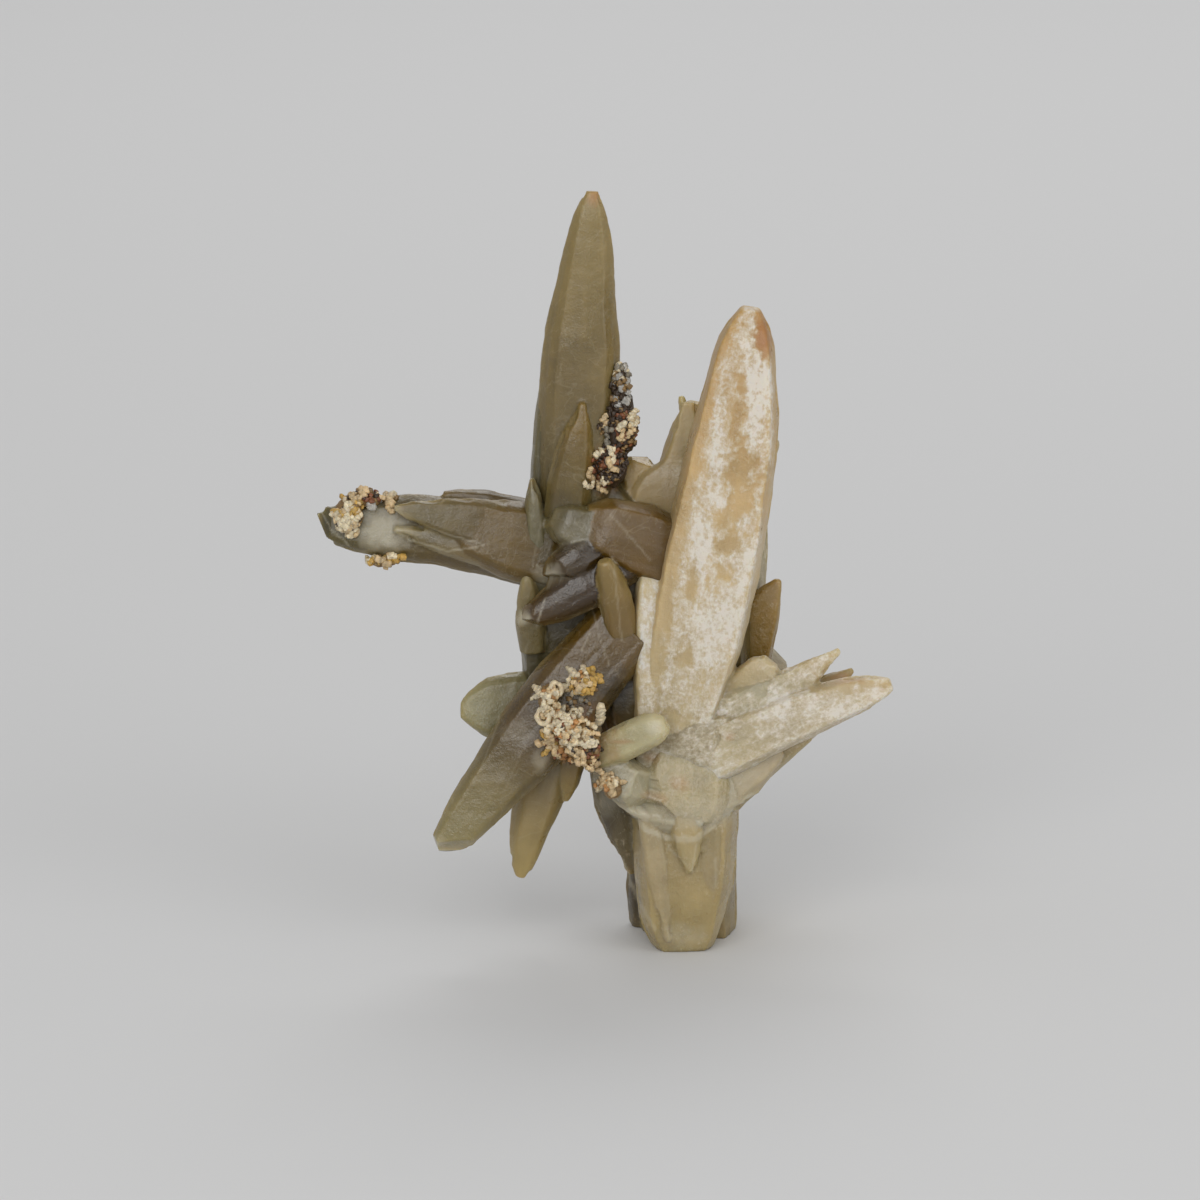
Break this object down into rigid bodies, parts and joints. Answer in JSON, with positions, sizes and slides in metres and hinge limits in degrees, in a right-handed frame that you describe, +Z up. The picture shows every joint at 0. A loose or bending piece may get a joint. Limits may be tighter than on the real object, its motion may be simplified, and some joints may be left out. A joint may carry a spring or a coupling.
{
  "type": "calcite crystal cluster",
  "caption": "Cluster of tapering calcite blades grown together, one coated white, with small drusy crusts, standing on a small broken flat foot.",
  "frame": {"origin": "in the flat broken spot under the foot that the specimen rests on, below the foot's middle", "axes": "+Z up along the tall spire, +X to the right in the picture, +Y away from the picture's viewer"},
  "size_m": [0.0935, 0.0533, 0.1228],
  "materials": {
    "calcite": "satin",
    "druse": "satin"
  },
  "bodies": {
    "root": {"calcite_cluster": "calcite", "druse_by_spire": "druse", "druse_front": "druse", "druse_front_upper": "druse", "druse_on_lump": "druse", "druse_on_arm": "druse", "druse_under_arm": "druse"}
  },
  "joints": []
}
